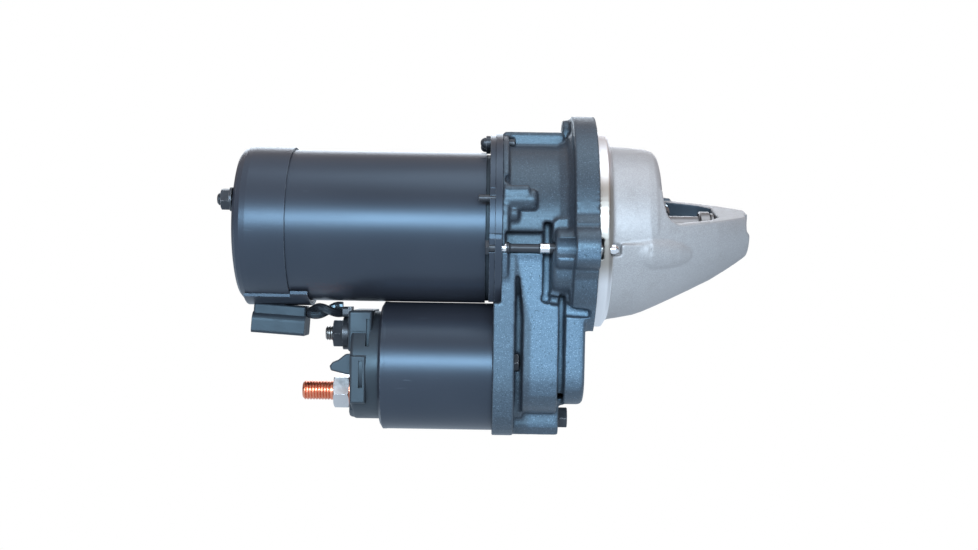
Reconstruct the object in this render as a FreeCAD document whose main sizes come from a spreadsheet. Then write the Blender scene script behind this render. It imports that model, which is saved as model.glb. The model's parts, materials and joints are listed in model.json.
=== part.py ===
import FreeCAD, Part
import math
import os
import Sketcher

# Planetary-reduction starter motor.
# Frame: origin at the centre of the pilot ring on the flange's mounting face,
# +X forwards along the motor axis to the pinion nose, +Z up, solenoid below (-Z).
# All lengths are millimetres. Profiles are (x, radius) unless a comment says otherwise.

Vector = FreeCAD.Vector
doc = FreeCAD.newDocument("StarterMotor")
sheet = doc.addObject("Spreadsheet::Sheet", "Dims")


class Size(float):
    """A number that also carries the spreadsheet expression it comes from."""

    def __new__(cls, value, text):
        size = super().__new__(cls, value)
        size.text = text
        return size

    def _combined(self, sign, value, other):
        right = getattr(other, "text", None) or repr(float(other))
        return Size(value, "(%s %s (%s))" % (self.text, sign, right))

    def __add__(self, other):
        return self._combined("+", float.__add__(self, other), other)

    def __sub__(self, other):
        return self._combined("-", float.__sub__(self, other), other)


aliases = []


def dim(alias, value):
    """Add a driving dimension to the spreadsheet."""
    aliases.append(alias)
    row = len(aliases)
    sheet.set("A%d" % row, alias)
    sheet.set("B%d" % row, str(value))
    sheet.setAlias("B%d" % row, alias)
    return Size(value, "Dims." + alias)


# ---- driving dimensions ------------------------------------------------
# "rear", "front" and "tip" are x positions, "drop" is a z position,
# "turn" and "lean" are degrees.
pilot_radius = dim("pilot_radius", 41.25)
pilot_length = dim("pilot_length", 4.4)
flange_thickness = dim("flange_thickness", 9.5)
flange_radius = dim("flange_radius", 47.7)
bolt_circle_radius = dim("bolt_circle_radius", 49.0)
bolt_hole_radius = dim("bolt_hole_radius", 4.25)
ear_radius = dim("ear_radius", 8.2)
ear_turn = dim("ear_turn", 10.5)
housing_rear = dim("housing_rear", -38.0)
barrel_radius = dim("barrel_radius", 35.6)
barrel_cavity = dim("barrel_cavity", 24.6)
rib_height_radius = dim("rib_height_radius", 40.4)
yoke_front = dim("yoke_front", -44.6)
yoke_rear = dim("yoke_rear", -127.6)
yoke_radius = dim("yoke_radius", 31.9)
yoke_bore = dim("yoke_bore", 28.9)
cap_radius = dim("cap_radius", 32.9)
cap_wall = dim("cap_wall", 1.9)
cap_front = dim("cap_front", -125.6)
cap_rear = dim("cap_rear", -147.6)
bracket_radius = dim("bracket_radius", 39.3)
gasket_radius = dim("gasket_radius", 40.1)
bracket_front = dim("bracket_front", -40.8)
bracket_rear = dim("bracket_rear", -43.1)
stud_circle = dim("stud_circle", 26.4)
stud_radius = dim("stud_radius", 2.4)
stud_turn = dim("stud_turn", 20.4)
solenoid_drop = dim("solenoid_drop", -58.96)
can_radius = dim("can_radius", 26.9)
can_wall = dim("can_wall", 2.0)
can_front = dim("can_front", -41.0)
can_rear = dim("can_rear", -87.0)
switch_radius = dim("switch_radius", 22.8)
switch_rear = dim("switch_rear", -100.6)
terminal_radius = dim("terminal_radius", 4.0)
battery_drop = dim("battery_drop", -70.2)
battery_tip = dim("battery_tip", -121.4)
motor_drop = dim("motor_drop", -45.8)
motor_tip = dim("motor_tip", -112.0)
gear_module = dim("gear_module", 1.15)
sun_teeth = dim("sun_teeth", 11)
planet_teeth = dim("planet_teeth", 13)
ring_teeth = dim("ring_teeth", 37)
armature_radius = dim("armature_radius", 22.5)
armature_front = dim("armature_front", -75.0)
armature_rear = dim("armature_rear", -115.0)
shaft_radius = dim("shaft_radius", 5.0)
drive_radius = dim("drive_radius", 8.0)
journal_radius = dim("journal_radius", 4.5)
running_gap = dim("running_gap", 0.04)
pinion_rear = dim("pinion_rear", 11.0)
pinion_front = dim("pinion_front", 32.5)
pinion_tip_radius = dim("pinion_tip_radius", 13.4)
pinion_root_radius = dim("pinion_root_radius", 9.2)
clutch_radius = dim("clutch_radius", 21.0)
clutch_rear = dim("clutch_rear", -14.0)
clutch_front = dim("clutch_front", 7.0)
sleeve_rear = dim("sleeve_rear", -35.0)
lever_x = dim("lever_x", -22.0)
lever_drop = dim("lever_drop", -34.0)
fork_arm = dim("fork_arm", 34.0)
plunger_arm = dim("plunger_arm", 25.3)
lever_lean = dim("lever_lean", 11.0)
plunger_radius = dim("plunger_radius", 9.6)
plunger_rear = dim("plunger_rear", -58.0)
nose_cup_radius = dim("nose_cup_radius", 35.9)
nose_cup_front = dim("nose_cup_front", 27.0)
nose_tip = dim("nose_tip", 66.0)
nose_wall = dim("nose_wall", 4.2)
doc.recompute()

# ---- places shared by several pieces -----------------------------------
SIDES = (1.0, -1.0)    # features are drawn on the -Y side; -1 puts one on the +Y side
REACH = 60.0           # half size of trimming blocks that must clear the body
flange_rear = -flange_thickness

# Each place is a (y, z) pair.
stud_angle = math.radians(stud_turn)
stud_places = [(-side * stud_circle * math.cos(stud_angle),
                side * stud_circle * math.sin(stud_angle)) for side in SIDES]
long_y, long_z = -36.0, -9.0
long_places = [(side * long_y, long_z) for side in SIDES]
bracket_screw_places = [(-9.0, 35.4), (9.0, 35.4)]
pin_places = [(-36.4, 10.6), (36.4, 10.6)]
low_screw_place = (0.0, -80.2)
side_screw_places = [(-22.4, -55.5), (22.4, -55.5)]

finished = []                                # pieces in the order they were made
ALONG_X = FreeCAD.Rotation(Vector(0, 1, 0), 90)    # turns a +Z solid to lie along +X


# ---- parametric objects ------------------------------------------------
def keep(obj):
    """List an object as a piece; its Label becomes the file name."""
    finished.append(obj)


def bind(obj, prop, size):
    if isinstance(size, Size):
        obj.setExpression(prop, size.text)
    else:
        setattr(obj, prop, float(size))


def place(obj, at, rotation=FreeCAD.Rotation()):
    obj.Placement = FreeCAD.Placement(Vector(*at), rotation)
    for axis, value in zip("xyz", at):
        if isinstance(value, Size):
            obj.setExpression("Placement.Base." + axis, value.text)
    return obj


def turned(name, profile, at=(0, 0, 0)):
    """PartDesign body: fully dimensioned profile revolved about the local X axis."""
    body = doc.addObject("PartDesign::Body", name)
    sketch = body.newObject("Sketcher::SketchObject", name + "_profile")
    base = next(o for o in body.Origin.OriginFeatures if o.Role == "XZ_Plane")
    sketch.AttachmentSupport = [(base, "")]
    sketch.MapMode = "FlatFace"
    count = len(profile)
    for i, start in enumerate(profile):
        end = profile[(i + 1) % count]
        sketch.addGeometry(Part.LineSegment(Vector(*start, 0), Vector(*end, 0)), False)
    sketch.addConstraint([Sketcher.Constraint("Coincident", i, 2, (i + 1) % count, 1)
                          for i in range(count)])
    for i, point in enumerate(profile):
        for kind, value in zip(("DistanceX", "DistanceY"), point):
            k = sketch.addConstraint(Sketcher.Constraint(kind, -1, 1, i, 1, float(value)))
            if isinstance(value, Size):
                sketch.setExpression("Constraints[%d]" % k, value.text)
    turn = body.newObject("PartDesign::Revolution", name + "_turn")
    turn.Profile = sketch
    turn.ReferenceAxis = (sketch, ["H_Axis"])
    turn.Angle = 360
    body.Tip = turn
    doc.recompute()
    return place(body, at)


def tube(name, x0, x1, outer, inner, at=(0, 0, 0)):
    return turned(name, [(x0, inner), (x1, inner), (x1, outer), (x0, outer)], at)


def cylinder(name, x0, length, radius, y, z):
    obj = doc.addObject("Part::Cylinder", name)
    bind(obj, "Radius", radius)
    bind(obj, "Height", length)
    return place(obj, (x0, y, z), ALONG_X)


def cut(name, base, tools):
    for i, tool in enumerate(tools):
        step = doc.addObject("Part::Cut", "%s_cut%d" % (name, i))
        step.Base = base
        step.Tool = tool
        base = step
    base.Label = name
    return base


def feature(name, shape):
    """Keep a shape as a piece; a list of shapes becomes one compound."""
    if isinstance(shape, list):
        shape = Part.makeCompound(shape)
    obj = doc.addObject("Part::Feature", name)
    obj.Shape = shape
    obj.Placement = shape.Placement
    keep(obj)


def piece(build):
    """Decorator: build the shape now and keep it under the function's name."""
    feature(build.__name__, build())


# ---- plain shapes ------------------------------------------------------
def rod(radius, x0, x1, y=0.0, z=0.0):
    return Part.makeCylinder(radius, x1 - x0, Vector(x0, y, z), Vector(1, 0, 0))


def cross_rod(radius, y0, y1, x, z):
    """Cylinder along Y."""
    return Part.makeCylinder(radius, y1 - y0, Vector(x, y0, z), Vector(0, 1, 0))


def box(x0, x1, y0, y1, z0, z1):
    return Part.makeBox(x1 - x0, y1 - y0, z1 - z0, Vector(x0, y0, z0))


def side_span(side, y0, y1):
    return sorted((side * y0, side * y1))


def side_box(side, x0, x1, y0, y1, z0, z1):
    return box(x0, x1, *side_span(side, y0, y1), z0, z1)


def lathe(profile, y=0.0, z=0.0):
    """Profile revolved about the line along X through (y, z)."""
    points = [Vector(x, y, z + radius) for x, radius in profile]
    face = Part.Face(Part.makePolygon(points + points[:1]))
    return face.revolve(Vector(0, y, z), Vector(1, 0, 0), 360)


def prism_x(outline, x0, x1):
    """Outline of (y, z) points swept along X."""
    points = [Vector(x0, y, z) for y, z in outline]
    return Part.Face(Part.makePolygon(points + points[:1])).extrude(Vector(x1 - x0, 0, 0))


def prism_y(outline, y0, y1):
    """Outline of (x, z) points swept along Y."""
    points = [Vector(x, y0, z) for x, z in outline]
    return Part.Face(Part.makePolygon(points + points[:1])).extrude(Vector(0, y1 - y0, 0))


def wedge(half_angle, reach, x0, x1):
    """Slice about the +Y direction with its point on the motor axis."""
    y, z = reach * math.cos(half_angle), reach * math.sin(half_angle)
    return prism_x([(0, 0), (y, -z), (y, z)], x0, x1)


def turn_about_axis(shape, degrees):
    shape.rotate(Vector(0, 0, 0), Vector(1, 0, 0), degrees)


def ring_of(shape, count, start=0.0):
    return [shape.copy().rotated(Vector(0, 0, 0), Vector(1, 0, 0), start + i * 360.0 / count)
            for i in range(count)]


def drill(shape, radius, x0, x1, places):
    for y, z in places:
        shape = shape.cut(rod(radius, x0, x1, y, z))
    return shape


def largest_solid(shape):
    return max(shape.Solids, key=lambda solid: solid.Volume)


def soften(shape, radius, want):
    """Fillet the edges that want() picks; an edge that can't take the radius is left sharp."""

    def sound(result):
        return (result.isValid() and len(result.Solids) == len(shape.Solids)
                and result.Volume > 0)

    def middle(edge):
        return edge.valueAt((edge.FirstParameter + edge.LastParameter) / 2)

    edges = [edge for edge in shape.Edges if want(edge)]
    if not edges:
        return shape
    for smaller in (radius, radius * 0.6, radius * 0.3):
        # The kernel raises an error where a radius doesn't fit; a smaller one may.
        try:
            result = shape.makeFillet(smaller, edges)
            if sound(result):
                return result
        except Exception:
            pass
    result = shape
    for edge in edges:
        # One edge at a time, found again by its middle; one that still fails stays sharp.
        try:
            match = [e for e in result.Edges if (middle(e) - middle(edge)).Length < 1e-3]
            if not match:
                continue
            trial = result.makeFillet(radius * 0.5, match)
            if sound(trial):
                result = trial
        except Exception:
            pass
    return result


def rounded_rod(radius, x0, x1, y, z, fillet, front=False):
    """Rod with one end's rim rounded, the rear one unless front is set."""
    if front:
        return soften(rod(radius, x0, x1, y, z), fillet, lambda e: e.BoundBox.XMin > x1 - 0.1)
    return soften(rod(radius, x0, x1, y, z), fillet, lambda e: e.BoundBox.XMax < x0 + 0.1)


def hexagon(across_flats, x0, x1, y, z, bevel, turn=0.0):
    """Hexagonal prism with both ends chamfered."""
    radius = across_flats / math.sqrt(3)
    angles = [math.radians(60 * i + turn) for i in range(6)]
    outline = [(y + radius * math.cos(a), z + radius * math.sin(a)) for a in angles]
    cone = lathe([(x0, 0), (x1, 0), (x1, radius - bevel), (x1 - bevel * 0.6, radius + 0.05),
                  (x0 + bevel * 0.6, radius + 0.05), (x0, radius - bevel)], y, z)
    return prism_x(outline, x0, x1).common(cone)


def threaded(radius, x0, x1, pitch, y, z, depth, rear_bevel=0.6, front_bevel=0.6):
    """A rod from x0 to x1 with a closed ring groove for every thread turn."""
    x = x0 + rear_bevel
    profile = [(x0, 0.0), (x0, radius - rear_bevel), (x, radius)]
    while x + pitch < x1 - front_bevel:
        profile += [(x + pitch * 0.18, radius), (x + pitch * 0.5, radius - depth),
                    (x + pitch * 0.82, radius)]
        x += pitch
    profile += [(x1 - front_bevel, radius), (x1, radius - front_bevel), (x1, 0.0)]
    return lathe(profile, y, z)


def spring(radius, wire, x0, x1, turns):
    """Coil along X; its wire has an eight-sided section."""
    length = x1 - x0 - wire
    helix = Part.makeHelix(length / turns, length, radius)
    angles = [math.pi * i / 4 + 0.2 for i in range(8)]
    corners = [Vector(radius + wire / 2 * math.cos(a), 0, wire / 2 * math.sin(a))
               for a in angles]
    section = Part.makePolygon(corners + corners[:1])
    coil = Part.Wire(helix).makePipeShell([section], True, True)
    coil.rotate(Vector(0, 0, 0), Vector(0, 1, 0), 90)
    coil.translate(Vector(x0 + wire / 2, 0, 0))
    return coil


# ---- involute gears ----------------------------------------------------
PRESSURE_ANGLE = math.radians(25)
FLANK_POINTS = 5


def involute(angle):
    return math.tan(angle) - angle


def gear_outline(teeth, module, outer, inner, slack, phase=0.0):
    """Closed polygon of an involute gear with one tooth centred at phase."""
    pitch_radius = module * teeth / 2
    base_radius = pitch_radius * math.cos(PRESSURE_ANGLE)
    base_half = math.pi / (2 * teeth) - slack / (2 * pitch_radius) + involute(PRESSURE_ANGLE)

    def half_tooth(radius):
        if radius <= base_radius:
            return base_half
        return base_half - involute(math.acos(base_radius / radius))

    start = max(inner, base_radius)
    radii = [start + (outer - start) * i / (FLANK_POINTS - 1.0) for i in range(FLANK_POINTS)]
    if inner < base_radius:
        radii = [inner] + radii
    outline = []
    for k in range(teeth):
        centre = phase + 2 * math.pi * k / teeth
        flanks = [(r, centre - half_tooth(r)) for r in radii]
        flanks += [(r, centre + half_tooth(r)) for r in reversed(radii)]
        outline += [(r * math.cos(a), r * math.sin(a)) for r, a in flanks]
    return outline


def reduction_gear(teeth, x0, x1, above=0.9, below=1.15, slack=0.08):
    """Gear of the reduction; above and below the pitch circle are in modules."""
    pitch_radius = gear_module * teeth / 2
    outline = gear_outline(int(teeth), gear_module, pitch_radius + above * gear_module,
                           pitch_radius - below * gear_module, slack)
    return prism_x(outline, x0, x1)


# ---- motor casing ------------------------------------------------------
stud_thread_radius = 2.5
bearing_bore = 6.6

keep(tube("yoke", yoke_rear, yoke_front, yoke_radius, yoke_bore))


@piece
def field_magnets():
    outer = yoke_bore - 0.02
    ring = lathe([(-119, 23.3), (-71, 23.3), (-71, outer), (-119, outer)])
    magnet = ring.common(wedge(math.radians(22.5), 60, -120, -70))
    return ring_of(magnet, 6, 180 - stud_turn + 30)


keep(tube("front_seal_ring", yoke_front + 0.01, bracket_rear - 0.01,
          yoke_radius - 0.9, yoke_bore + 0.3))


def make_rear_cap():
    """A deep cup over the yoke's end, with a bearing boss at its centre."""
    profile = [
        (cap_rear - 1.1, 0), (cap_rear - 1.1, 10.2), (cap_rear - 0.6, 11.0),
        (cap_rear, 11.4), (cap_rear, 28.6), (cap_rear + 0.5, 30.6), (cap_rear + 1.7, 32.0),
        (cap_rear + 3.6, 32.7), (cap_rear + 6.0, cap_radius), (cap_front, cap_radius),
        (cap_front, yoke_radius + 0.02), (cap_rear + 18.6, yoke_radius + 0.02),
        (cap_rear + 18.6, yoke_radius - 1.4), (cap_rear + 8.2, yoke_radius - 1.4),
        (cap_rear + 4.2, 29.6), (cap_rear + cap_wall + 0.8, 26.4),
        (cap_rear + cap_wall + 0.6, 8.8), (cap_rear + 7.0, 8.8),
        (cap_rear + 7.0, bearing_bore), (cap_rear + 2.6, bearing_bore), (cap_rear + 2.6, 0)]
    shell = turned("rear_cap_shell", profile)
    tools = [cylinder("cap_stud_hole%d" % i, cap_rear - 1, 12, stud_radius + 0.15, y, z)
             for i, (y, z) in enumerate(stud_places)]
    notch = doc.addObject("Part::Box", "cap_lead_notch")
    notch.Length, notch.Width, notch.Height = 12.0, 10.0, 8.0
    place(notch, (-140.0, -5.0, -36.0))
    keep(cut("rear_cap", shell, tools + [notch]))


make_rear_cap()
keep(tube("rear_bush", cap_rear + 2.62, cap_rear + 6.9, bearing_bore - 0.02,
          journal_radius + running_gap))


@piece
def motor_studs():
    studs = []
    for y, z in stud_places:
        shank = rod(stud_radius, -146.0, -30.0, y, z)
        thread = threaded(stud_thread_radius, -153.8, -145.0, 0.9, y, z, depth=0.3)
        studs.append(shank.fuse(thread).removeSplitter())
    return studs


@piece
def stud_nuts():
    nuts = []
    for y, z in stud_places:
        nut = hexagon(8.0, -152.2, -148.2, y, z, bevel=0.6, turn=12)
        nut = nut.fuse(rod(4.9, -148.6, cap_rear - 0.02, y, z))
        nuts.append(nut.cut(rod(stud_thread_radius + 0.02, -154, -146, y, z)))
    return nuts


# ---- brush gear --------------------------------------------------------
BRUSH_TURNS = (45, 135, 225, 315)     # degrees about the motor axis
commutator_radius = 11.0


@piece
def brush_plate():
    plate = lathe([(-143.2, 10.5), (-141.6, 10.5), (-141.6, 28.0), (-143.2, 28.0)])
    plate = drill(plate, 3.2, -144, -141, stud_places)
    for turn in BRUSH_TURNS:
        holder = box(-141.7, -130.4, -4.4, 4.4, 13.2, 27.6)
        holder = holder.cut(box(-139.5, -131.2, -3.6, 3.6, 12, 26.4))
        turn_about_axis(holder, turn)
        plate = plate.fuse(holder)
    return drill(plate, 2.9, -144, -128, stud_places).removeSplitter()


@piece
def brushes():
    result = []
    for turn in BRUSH_TURNS:
        brush = box(-139.4, -131.3, -3.5, 3.5, 10.5, 20.0)
        brush = brush.cut(rod(commutator_radius + 0.06, -145, -125))
        turn_about_axis(brush, turn)
        result.append(brush)
    return result


@piece
def brush_springs():
    result = []
    for turn in BRUSH_TURNS:
        coil = spring(2.4, wire=0.7, x0=0, x1=6.2, turns=4)
        coil.rotate(Vector(0, 0, 0), Vector(0, 1, 0), -90)    # stand it along +Z
        coil.translate(Vector(-135.4, 0, 20.1))
        turn_about_axis(coil, turn)
        result.append(coil)
    return result


# ---- armature ----------------------------------------------------------
slot_count = 16
sun_rear, sun_front = -62.5, -51.3
commutator_rear, commutator_front = -139.7, -125.4
commutator_bore = 8.0


@piece
def armature_shaft():
    shaft = lathe([(-144.2, 0), (-144.2, 4.0), (-143.8, 4.5), (-139.9, 4.5),
                   (-139.9, shaft_radius), (sun_rear, shaft_radius),
                   (sun_front, shaft_radius), (sun_front, 3.2), (-46.4, 3.2),
                   (-46.0, 2.8), (-46.0, 0)])
    sun = reduction_gear(sun_teeth, sun_rear, sun_front)
    return shaft.fuse(sun).removeSplitter()


@piece
def armature_core():
    core = rod(armature_radius, armature_rear, armature_front)
    core = core.cut(rod(shaft_radius + 0.01, -120, -70))
    x0, x1 = armature_rear - 1, armature_front + 1
    slot = box(x0, x1, -1.5, 1.5, 13.0, 21.2)
    mouth = box(x0, x1, -0.6, 0.6, 21.0, 23.5)
    return core.cut(Part.makeCompound(ring_of(slot.fuse(mouth), slot_count)))


@piece
def armature_windings():
    bar = box(armature_rear - 4, armature_front + 5, -1.4, 1.4, 13.2, 21.0)
    front_turns = lathe([(-74.8, 12.5), (-68.5, 11.5), (-67.5, 13.0), (-67.5, 18.5),
                         (-69.5, 21.0), (-74.8, 21.6)])
    rear_turns = lathe([(-125.0, 11.4), (-115.2, 12.5), (-115.2, 21.6), (-119.0, 21.0),
                        (-124.0, 15.5), (-125.0, 14.0)])
    return front_turns.fuse([rear_turns] + ring_of(bar, slot_count)).removeSplitter()


@piece
def commutator_bars():
    segment = lathe([(commutator_rear, commutator_bore), (commutator_front, commutator_bore),
                     (commutator_front, 13.2), (-127.4, 13.2), (-127.4, commutator_radius),
                     (commutator_rear, commutator_radius)])
    half_angle = math.radians(180.0 / slot_count - 0.9)
    return ring_of(segment.common(wedge(half_angle, 40, -142, -124)), slot_count)


keep(tube("commutator_hub", commutator_rear, commutator_front, commutator_bore - 0.02,
          shaft_radius + 0.01))

# ---- reduction gears ---------------------------------------------------
planet_count = 3
planet_pin_radius = 2.6
orbit = gear_module * sun_teeth / 2 + gear_module * planet_teeth / 2
planet_angles = [2 * math.pi * k / planet_count for k in range(planet_count)]
planet_places = [(orbit * math.cos(a), orbit * math.sin(a)) for a in planet_angles]


@piece
def ring_gear():
    ring = rod(yoke_bore - 0.03, -63.0, -46.6)
    ring = ring.cut(reduction_gear(ring_teeth, -64.0, -50.5,
                                   above=1.15, below=0.9, slack=-0.08))
    ring = ring.cut(rod(23.2, -50.6, -46.0))
    return drill(ring, 2.75, -64, -46, stud_places)


thrust_disc = tube("thrust_disc", -64.6, -63.02, yoke_bore - 0.03, 8.2)
thrust_holes = [cylinder("thrust_hole%d" % i, -66, 4, stud_radius + 0.3, y, z)
                for i, (y, z) in enumerate(stud_places)]
keep(cut("thrust_plate", thrust_disc, thrust_holes))


def planet_gear(angle, y, z):
    gear = reduction_gear(planet_teeth, -61.8, -51.8)
    gear = gear.cut(rod(planet_pin_radius + running_gap, -70, -40))
    # rolling round the sun turns the planet by its orbit angle and the tooth ratio
    turn_about_axis(gear, math.degrees(angle * (1 + sun_teeth / planet_teeth)))
    gear.translate(Vector(0, y, z))
    return gear


for number, angle in enumerate(planet_angles):
    feature("planet_gear_%d" % (number + 1), planet_gear(angle, *planet_places[number]))


@piece
def planet_pins():
    return [rod(planet_pin_radius, -62.4, -47.0, y, z) for y, z in planet_places]


@piece
def output_shaft():
    """Carrier flange, centre journal, splines for the clutch and nose journal."""
    shaft = lathe([
        (-51.2, 3.26), (-51.2, 19.2), (-50.6, 19.8), (-47.8, 19.8), (-47.2, 19.2),
        (-47.2, 10.5), (-46.8, 8.0), (-38.2, drive_radius), (-37.4, 7.0), (-11.8, 7.0),
        (-11.2, 6.4), (52.1, 6.4), (52.4, 5.8), (53.0, 5.8), (53.0, journal_radius),
        (62.4, journal_radius), (62.8, 4.1), (62.8, 0), (-45.6, 0), (-45.6, 3.26)])
    shaft = shaft.fuse(ring_of(box(-37.6, -11.9, -1.25, 1.25, 5.0, 8.4), 10))
    shaft = shaft.cut(lathe([(50.6, 5.6), (51.8, 5.6), (51.8, 7.0), (50.6, 7.0)]))
    return drill(shaft, planet_pin_radius, -52, -46.5, planet_places).removeSplitter()


@piece
def stop_collar():
    collar = lathe([(45.6, 6.42), (50.5, 6.42), (50.5, 7.4), (49.9, 8.4), (46.2, 8.4),
                    (45.6, 7.8)])
    clip = lathe([(50.62, 5.64), (51.7, 5.64), (51.7, 7.7), (50.62, 7.7)])
    return [collar, clip.cut(box(50, 53, -2.6, 2.6, -9, 0))]


# ---- centre bracket, gasket plate and bush -----------------------------
plate_bottom = -31.0        # z of the flat both plates are trimmed to
hub_rear, hub_front, hub_bore = -46.5, -38.6, 9.6
long_clearance = 2.6
screw_hole = 2.05
pin_hole = 1.45


def trimmed_disc(radius, x0, x1):
    return rod(radius, x0, x1).cut(box(-60, -30, -REACH, REACH, -REACH, plate_bottom))


def drill_plate(plate):
    """The stud, long bolt, screw and pin holes common to both plates."""
    for stud_place, long_place in zip(stud_places, long_places):
        plate = drill(plate, stud_radius + 0.2, -60, -30, [stud_place])
        plate = drill(plate, long_clearance, -60, -30, [long_place])
    plate = drill(plate, screw_hole, -60, -30, bracket_screw_places)
    return drill(plate, pin_hole, -60, -30, pin_places)


@piece
def centre_bracket():
    plate = trimmed_disc(bracket_radius, bracket_rear, bracket_front)
    hub = lathe([(hub_rear, hub_bore), (hub_front, hub_bore), (hub_front, 13.5),
                 (-42.0, 14.5), (hub_rear, 13.0)])
    plate = drill_plate(plate.fuse(hub).cut(rod(hub_bore, -60, -30)))
    # two notches in the -Y rim
    plate = plate.cut(box(-60, -30, -45, -36.4, 14.6, 17.4))
    return plate.cut(box(-60, -30, -45, -38.6, -5.6, -3.6)).removeSplitter()


@piece
def gasket_plate():
    plate = trimmed_disc(gasket_radius, bracket_front + 0.01, housing_rear - 0.01)
    plate = drill_plate(plate.cut(rod(17.0, -60, -30)))
    # two notches in the -Y rim
    plate = plate.cut(box(-60, -30, -45, -38.2, -5.6, -3.6))
    return plate.cut(box(-60, -30, -45, -37.4, 14.6, 16.4)).removeSplitter()


keep(tube("centre_bush", hub_rear, hub_front, hub_bore - 0.02, drive_radius + running_gap))

# ---- drive end housing -------------------------------------------------
# Section of the lever chamber's main block: half width at the top and at the knee,
# z of top, knee and bottom, half width of the flat bottom.
MAIN_SECTION = (33.0, 30.4, -10.6, -60.0, -77.2, 12.0)


def slab_sided(x0, x1, section):
    """Block along X with slightly drafted flat sides that curve in to a flat bottom."""
    top_half, knee_half, z_top, z_knee, z_low, bottom_half = section
    side = [(top_half, z_top), (knee_half, z_knee)]
    for k in range(1, 9):
        angle = math.radians(90.0 * k / 9)
        side.append((bottom_half + (knee_half - bottom_half) * math.cos(angle),
                     z_knee + (z_low - z_knee) * math.sin(angle)))
    side.append((bottom_half, z_low))
    return prism_x(side + [(-y, z) for y, z in reversed(side)], x0, x1)


def ear_direction(side):
    angle = math.radians(ear_turn)
    return -side * math.cos(angle), -side * math.sin(angle)


def flange_with_ears():
    """Flange disc, flat below, with two bolt ears and their tapering webs."""
    flange = rod(flange_radius, flange_rear, 0)
    flange = flange.cut(box(-20, 5, -REACH, REACH, -REACH, -42.4))
    for side in SIDES:
        unit_y, unit_z = ear_direction(side)

        def spot(out, across):
            return (unit_y * out + unit_z * across, unit_z * out - unit_y * across)

        web = prism_x([spot(bolt_circle_radius, 9.6), spot(bolt_circle_radius, -9.6),
                       spot(25, -34), spot(25, 34)], flange_rear, 0)
        ear = rod(ear_radius, flange_rear, 0, *spot(bolt_circle_radius, 0))
        flange = flange.fuse([web, ear])
    return flange.removeSplitter()


def barrel_parts():
    """Barrel, its rib and boss on top, rear rim, and the sloping skirt to the flange."""
    top_rib = box(housing_rear, flange_rear - 3.0, -9.5, 9.5, 20, rib_height_radius)
    top_rib = soften(top_rib, 1.6, lambda e: e.BoundBox.ZMin > rib_height_radius - 0.1)
    skirt = lathe([(flange_rear - 5.5, 34), (flange_rear - 5.5, 35.7),
                   (flange_rear - 2.2, 37.2), (flange_rear + 0.2, 41.5),
                   (flange_rear + 0.2, 34)])
    return [rod(barrel_radius, housing_rear, flange_rear + 0.5),
            top_rib,
            rod(39.8, housing_rear, housing_rear + 2.6),
            rounded_rod(6.2, flange_rear - 3.4, flange_rear + 1, 3.0, 40.6, 1.0),
            skirt.cut(box(-30, 5, -REACH, REACH, -REACH, -20))]


def flank_parts(side):
    """Rounded swellings behind the flange on one side."""
    front = flange_rear + 1
    pad = side_box(side, -17.9, front, -37.4, -20, -16.0, 3.0)
    pad = soften(pad, 3.0, lambda e: e.BoundBox.XMax < -17.8
                 and abs(e.BoundBox.ZMin - 3.0) < 1e-6)
    return [rounded_rod(12.0, -17.9, front, -29.0 * side, -14.6, 2.4),
            pad,
            rounded_rod(8.0, -16.9, front, -39.6 * side, -9.2, 1.6),
            rounded_rod(9.0, -17.6, front, -27.4 * side, -18.8, 2.4),
            rod(10.0, flange_rear - 1.0, -2.6, -27.0 * side, -22.6)]


def chamber_parts():
    """Lever chamber: blocks of stepped width from the rear strip forwards."""
    strip = slab_sided(-40.98, -32.2, (33.6, 30.6, -10.6, -62.0, -86.8, 11.0))
    strip = strip.cut(box(-50, housing_rear, -REACH, REACH, -31.1, REACH))
    neck = slab_sided(-33.0, -28.2, (22.0, 20.9, -12.0, -60.0, -80.0, 10.0))
    main = slab_sided(-29.0, -14.6, MAIN_SECTION)
    waist = slab_sided(-14.9, -11.2, (21.6, 20.9, -20.0, -60.0, -74.0, 10.0))
    front = slab_sided(-11.9, -3.6, (31.4, 28.8, -20.0, -60.0, -73.2, 13.0))
    front = soften(front, 2.2,
                   lambda e: e.BoundBox.XMin > -3.7 and e.BoundBox.ZMax < -20.5)
    foot = prism_x([(-11.5, -70.0), (-11.5, -83.0), (-8.2, -86.8), (8.2, -86.8),
                    (11.5, -83.0), (11.5, -70.0)], -33.0, -13.2)
    # rib in the groove ahead of the rear strip; its rear edge slants
    rib = prism_y([(-33.0, -10.6), (-28.4, -10.6), (-28.4, -48.0), (-28.9, -38.0),
                   (-29.6, -30.0), (-30.6, -22.0), (-31.8, -15.0), (-32.6, -11.6)],
                  -33.0, 33.0)
    rib = rib.common(slab_sided(-34.0, -28.0, MAIN_SECTION))
    return [strip, neck, main, waist, front, foot, rib]


def cut_flank_hollow(house, side):
    """Upright slot and the bent hollow that runs forwards from its lower end."""
    y0, y1 = side_span(side, -46.0, -25.6)
    slot = box(-21.4, -18.0, y0, y1, -27.0, 1.6)
    slot = slot.fuse(cross_rod(2.0, y0, y1, -20.0, -29.0))
    slot = slot.fuse(box(-21.4, -18.6, y0, y1, -30.0, -26.0))
    hollow = prism_y([(-21.4, -25.4), (-21.4, -29.6), (-19.8, -31.2), (-14.4, -31.6),
                      (-13.6, -34.6), (-11.4, -36.2), (-2.0, -36.8), (-2.0, -33.2),
                      (-9.0, -32.4), (-14.0, -28.4), (-18.0, -27.8)],
                     *side_span(side, -46.0, -27.6))
    return house.cut(slot).cut(hollow)


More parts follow.
